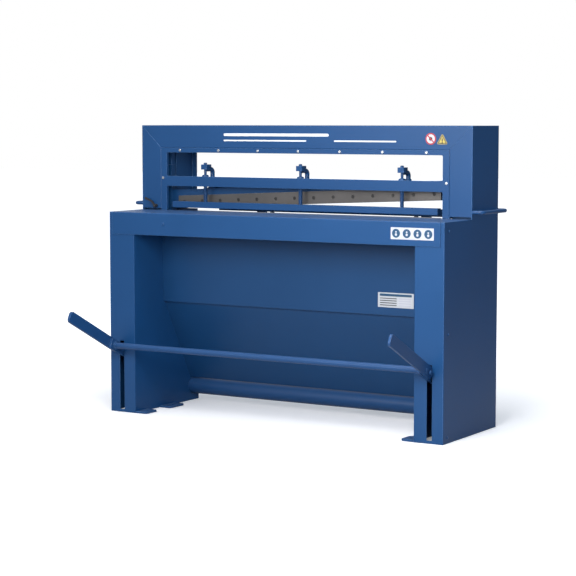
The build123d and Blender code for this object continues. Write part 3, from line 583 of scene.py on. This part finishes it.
notice_low, notice_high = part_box("notice_plate")
notice_mid = (notice_low + notice_high) / 2
pitch = (notice_high.x - notice_low.x) / 4
for index in range(4):
    x = notice_low.x + pitch * (index + 0.5)
    printed_disc(
        f"notice_disc_{index}", (x, notice_low.y, notice_mid.z), 0.0178, ink_blue
    )
    printed_disc(
        f"notice_dot_{index}", (x, notice_low.y - 0.0003, notice_mid.z + 0.0055), 0.0036, white_film,
        sides=24,
    )
    printed_bar(
        f"notice_bar_{index}", (x, notice_low.y - 0.0003, notice_mid.z - 0.005), (0.009, 0.010), white_film,
    )
print("notice discs pitch", round(pitch, 4))

# %% Red sign, yellow sign and data plate
red_mid = centre_of("red_disc")
red_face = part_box("red_disc")[0].y
printed_disc("red_sign_field", (red_mid.x, red_face, red_mid.z), 0.0185, white_film)
printed_disc(
    "red_sign_mark", (red_mid.x, red_face - 0.0003, red_mid.z), 0.0085, ink_black, sides=6
)
printed_bar(
    "red_sign_bar", (red_mid.x, red_face - 0.0006, red_mid.z), (0.039, 0.0052), red_film,
    tilt=radians(-45),
)
triangle_low, triangle_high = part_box("yellow_triangle")
triangle_mid = (triangle_low + triangle_high) / 2
triangle_centre = (triangle_mid.x, triangle_low.y, 1.202)
printed_disc(
    "yellow_sign_border", triangle_centre, 0.0245, ink_black, ring=0.0032, sides=3
)
printed_bar(
    "yellow_sign_stroke", (triangle_mid.x, triangle_low.y, 1.2045), (0.0045, 0.013), ink_black
)
printed_disc(
    "yellow_sign_dot", (triangle_mid.x, triangle_low.y, 1.1935), 0.0026, ink_black, sides=20
)
plate_low, plate_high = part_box("data_plate")
plate_mid = (plate_low + plate_high) / 2
printed_bar(
    "data_header", (plate_mid.x, plate_low.y, plate_high.z - 0.010), (0.150, 0.010), ink_blue
)
for index in range(4):
    z = plate_high.z - 0.024 - 0.0095 * index
    line_spot = (plate_mid.x - 0.035, plate_low.y, z)
    field_spot = (plate_mid.x + 0.042, plate_low.y, z)
    printed_bar(f"data_line_{index}", line_spot, (0.078, 0.0032), ink_black)
    printed_bar(f"data_field_{index}", field_spot, (0.058, 0.0055), white_film)
print("signs and data plate done")

# %% [markdown]
# The studio is a pale floor in a white surround. The camera sees the surround white, and the machine is
# lit by a dimmer one that darkens to the right, which keeps the side panel darker than the front. The
# floor glows a little for the camera, more with distance, so that no horizon shows behind the machine.

# %% Floor and surround
deselect_all()
bpy.ops.mesh.primitive_plane_add(size=60, location=(0, 0, -0.0006))
floor = bpy.context.object
floor.name = "studio_floor"
floor_material, tree, shader, place = start_material("studio_white", 0.85, specular=0.1)
shader.inputs["Emission Color"].default_value = (1.0, 1.0, 1.0, 1.0)
seen = tree.nodes.new("ShaderNodeLightPath")
shade = mix_colour(tree, seen.outputs["Is Camera Ray"], (0.46, 0.47, 0.49), (0.90, 0.90, 0.905))
tree.links.new(shade, shader.inputs["Base Color"])
reach = tree.nodes.new("ShaderNodeVectorMath")
reach.operation = "LENGTH"
tree.links.new(place, reach.inputs[0])
far_glow = tree.nodes.new("ShaderNodeMapRange")
far_glow.interpolation_type = "SMOOTHSTEP"
far_glow.inputs["From Min"].default_value = 0.9
far_glow.inputs["From Max"].default_value = 2.6
far_glow.inputs["To Min"].default_value = 0.22
far_glow.inputs["To Max"].default_value = 0.80
tree.links.new(reach.outputs["Value"], far_glow.inputs["Value"])
tree.links.new(
    math_node(tree, "MULTIPLY", far_glow.outputs["Result"], seen.outputs["Is Camera Ray"]),
    shader.inputs["Emission Strength"],
)
floor.data.materials.append(floor_material)

world = bpy.data.worlds.new("studio")
bpy.context.scene.world = world
world.use_nodes = True
sky = world.node_tree
backdrop = sky.nodes["Background"]
direction = sky.nodes.new("ShaderNodeTexCoord")
towards_right = sky.nodes.new("ShaderNodeVectorMath")
towards_right.operation = "DOT_PRODUCT"
towards_right.inputs[1].default_value = (0.93, 0.25, 0.05)
sky.links.new(direction.outputs["Generated"], towards_right.inputs[0])
ramp = sky.nodes.new("ShaderNodeValToRGB")
ramp.color_ramp.elements[0].position = 0.45
ramp.color_ramp.elements[0].color = (0.50, 0.52, 0.56, 1.0)
ramp.color_ramp.elements[1].position = 0.80
ramp.color_ramp.elements[1].color = (0.06, 0.15, 0.27, 1.0)
shifted = math_node(sky, "MULTIPLY_ADD", towards_right.outputs["Value"], 0.5)
shifted.node.inputs[2].default_value = 0.5
sky.links.new(shifted, ramp.inputs["Fac"])
seen = sky.nodes.new("ShaderNodeLightPath")
surround = mix_colour(sky, seen.outputs["Is Camera Ray"], ramp.outputs["Color"], (1.0, 1.0, 1.0))
sky.links.new(surround, backdrop.inputs["Color"])
backdrop.inputs["Strength"].default_value = 1.0
print("surround ready")

# %% Lights
def soft_box(name, place, aim, size, power):
    """A large area light that faces a point."""
    light = bpy.data.lights.new(name, "AREA")
    light.shape = "RECTANGLE"
    light.size, light.size_y = size
    light.energy = power
    holder = bpy.data.objects.new(name, light)
    bpy.context.scene.collection.objects.link(holder)
    holder.location = place
    facing = bpy.data.objects[name].location - Vector(aim)
    holder.rotation_euler = facing.to_track_quat("Z", "Y").to_euler()
    return holder


soft_box("front_box", (1.0, -2.3, 1.6), (0.8, 0, 0.6), (1.2, 1.2), 64)
soft_box("top_box", (0.3, -0.8, 4.6), (0, 0, 0.6), (4.0, 2.5), 150)
soft_box("edge_strip", (3.4, -4.2, 1.3), (0.6, 0, 0.8), (0.25, 2.2), 5)
soft_box("sheen_box", (-1.5, -4.4, 1.9), (0.5, 0, 1.0), (1.3, 1.5), 30)
print("four soft boxes")

# %% Camera
camera_data = bpy.data.cameras.new("studio_camera")
camera_data.sensor_width = 36
camera_data.lens = 111.2
camera = bpy.data.objects.new("studio_camera", camera_data)
bpy.context.scene.collection.objects.link(camera)
camera.location = (3.922, -6.509, 1.282)
camera.rotation_euler = (radians(90 - 5.366), 0, radians(31.35))
bpy.context.scene.camera = camera
bpy.context.scene.view_settings.view_transform = "Standard"
print("camera at", tuple(round(v, 3) for v in camera.location))
